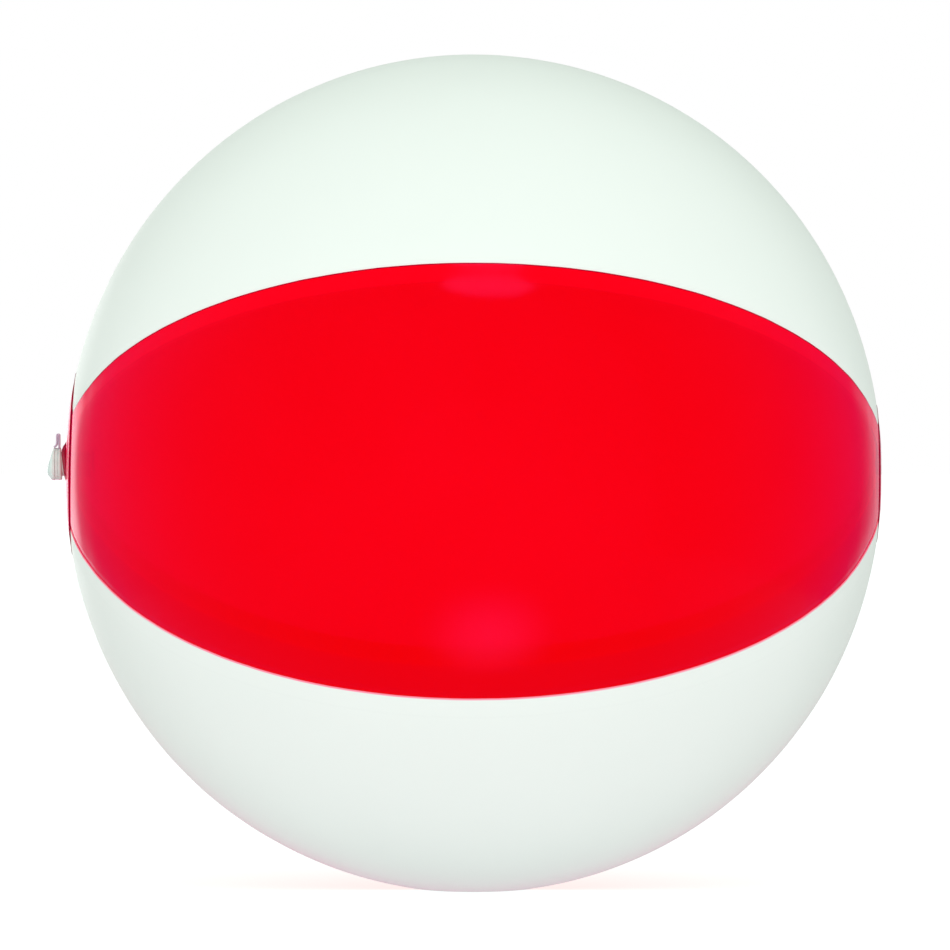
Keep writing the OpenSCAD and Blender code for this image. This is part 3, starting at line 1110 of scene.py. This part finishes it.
def makeWorld(spec):
    world = bpy.data.worlds.new("studio")
    bpy.context.scene.world = world
    world.use_nodes = True
    tree = world.node_tree
    tree.nodes.clear()
    do = functools.partial(calc, tree)
    path = addNode(tree, "ShaderNodeLightPath").outputs
    direction = addNode(tree, "ShaderNodeTexCoord").outputs["Generated"]
    way = addNode(tree, "ShaderNodeSeparateXYZ", {"Vector": direction}).outputs

    def step(value, edge, blend, first=0, last=1):  # from one level to another round an edge
        return ramp(tree, value, edge - blend, edge + blend, first, last)

    def patch(card):
        away = addNode(tree, "ShaderNodeVectorMath", {0: direction, 1: card["way"]}, operation="SUBTRACT")
        away = addNode(tree, "ShaderNodeVectorMath", {
            0: away.outputs["Vector"],
            1: (1 / card["wide"], 1 / card["high"], 1 / card["high"])}, operation="MULTIPLY")
        away = addNode(tree, "ShaderNodeVectorMath", {0: away.outputs["Vector"]}, operation="LENGTH")
        return ramp(tree, away.outputs["Value"], card["core"], 1, 1, 0)

    # The room as the film mirrors it
    walls = step(way["X"], 0, spec["wallBlend"], spec["leftLevel"], spec["rightLevel"])
    room = step(way["Y"], spec["frontEdge"], spec["frontBlend"], spec["frontLevel"], walls)
    above = step(way["Z"], spec["tableEdge"], spec["tableBlend"])
    room = do("MULTIPLY_ADD", above, do("SUBTRACT", room, spec["tableLevel"]), spec["tableLevel"])
    sideways = do("MULTIPLY", way["X"], -math.sin(spec["backdropTurn"]))
    rearward = do("MULTIPLY_ADD", way["Y"], math.cos(spec["backdropTurn"]), sideways)
    core = ramp(tree, rearward, math.cos(spec["backdropNone"]), math.cos(spec["backdropFull"]))
    core = do("MULTIPLY", core, step(way["X"], 0, spec["backdropBlend"], spec["backdropLevel"],
                                     spec["backdropLevel"] * spec["backdropRight"]))
    core = do("MULTIPLY", core, ramp(tree, do("ABSOLUTE", way["Z"]), spec["backdropFlat"],
                                     spec["backdropTall"], 1, 0))
    fade = ramp(tree, rearward, math.cos(spec["fadeNone"]), math.cos(spec["fadeFull"]))
    backdrop = do("MULTIPLY_ADD", do("MULTIPLY", fade, fade), spec["fadeLevel"], core)
    mirrorLevel = do("ADD", room, backdrop)
    for card in cards:
        mirrorLevel = do("MULTIPLY_ADD", patch(card), card["level"], mirrorLevel)
    mirrored = path["Is Glossy Ray"]
    glow = do("MULTIPLY", patch(tableGlow), mirrored)
    colour = mixed(tree, glow, (1, 1, 1, 1), tableGlow["colour"])
    mirrorLevel = do("MULTIPLY_ADD", glow, do("SUBTRACT", tableGlow["level"], mirrorLevel), mirrorLevel)

    # White to the camera and through clear pieces, dim through the film, plain light for the rest
    direct = do("LESS_THAN", path["Transparent Depth"], 1.5)  # film has two faces, the floor from below one
    straight = do("MULTIPLY", path["Is Camera Ray"], direct)
    through = do("SUBTRACT", path["Is Camera Ray"], straight)
    white = do("ADD", straight, path["Is Transmission Ray"])
    plain = do("SUBTRACT", do("SUBTRACT", do("SUBTRACT", 1, path["Is Camera Ray"]), mirrored),
               path["Is Transmission Ray"])
    level = do("MULTIPLY_ADD", mirrored, mirrorLevel, white)
    level = do("MULTIPLY_ADD", through, spec["throughLevel"], level)
    level = do("MULTIPLY_ADD", plain, spec["roomLevel"], level)
    sky = addNode(tree, "ShaderNodeBackground", {"Color": colour, "Strength": level})
    output = tree.nodes.new("ShaderNodeOutputWorld")
    feed(tree, output.inputs["Surface"], sky.outputs[0])


def makeFloor(spec):
    half = spec["floorSize"] / 2
    corners = ((-half, -half), (half, -half), (half, half), (-half, half))
    mesh = bpy.data.meshes.new("floor")
    mesh.from_pydata([(x, y, -spec["floorDrop"]) for x, y in corners], [], [(0, 1, 2, 3)])
    floor = linked(bpy.data.objects.new("floor", mesh))
    floor.visible_glossy = False  # the world holds the table that the film mirrors
    material, tree, surface = newMaterial("paleFloor")
    do = functools.partial(calc, tree)
    path = addNode(tree, "ShaderNodeLightPath").outputs
    direct = do("LESS_THAN", path["Transparent Depth"], 0.5)  # not through the film
    shown = do("MULTIPLY_ADD", direct, spec["glowSeen"] - spec["glowThrough"], spec["glowThrough"])
    strength = do("MULTIPLY_ADD", path["Is Camera Ray"], do("SUBTRACT", shown, spec["glowCast"]),
                  spec["glowCast"])
    tone = mixed(tree, path["Is Camera Ray"], spec["glowColour"], spec["seenColour"])
    matt = addNode(tree, "ShaderNodeBsdfDiffuse", {"Color": spec["floorColour"]})
    glow = addNode(tree, "ShaderNodeEmission", {"Color": tone, "Strength": strength})
    unseen = addNode(tree, "ShaderNodeBsdfTransparent")
    back = addNode(tree, "ShaderNodeNewGeometry").outputs["Backfacing"]
    lit = mixedShader(tree, spec["floorGlow"], matt, glow)
    oneSided = mixedShader(tree, back, lit, unseen)  # open when looked at from below
    feed(tree, surface, oneSided.outputs[0])
    mesh.materials.append(material)


def makeLamps(specs):
    for spec in specs:
        data = bpy.data.lights.new(spec["name"], "AREA")
        data.shape = "RECTANGLE"
        data.size, data.size_y = spec["size"]
        data.energy = spec["power"]
        lamp = linked(bpy.data.objects.new(spec["name"], data))
        lamp.location = spec["place"]
        lamp.visible_glossy = False  # the cards stand for them
        aim = lamp.location.copy()
        aim.z -= ball["centreZ"]
        lamp.rotation_euler = aim.to_track_quat("Z", "Y").to_euler()


makeWorld(studio)
makeFloor(studio)
makeLamps(lamps)
bpy.context.scene.view_settings.view_transform = "Standard"
print("studio made")
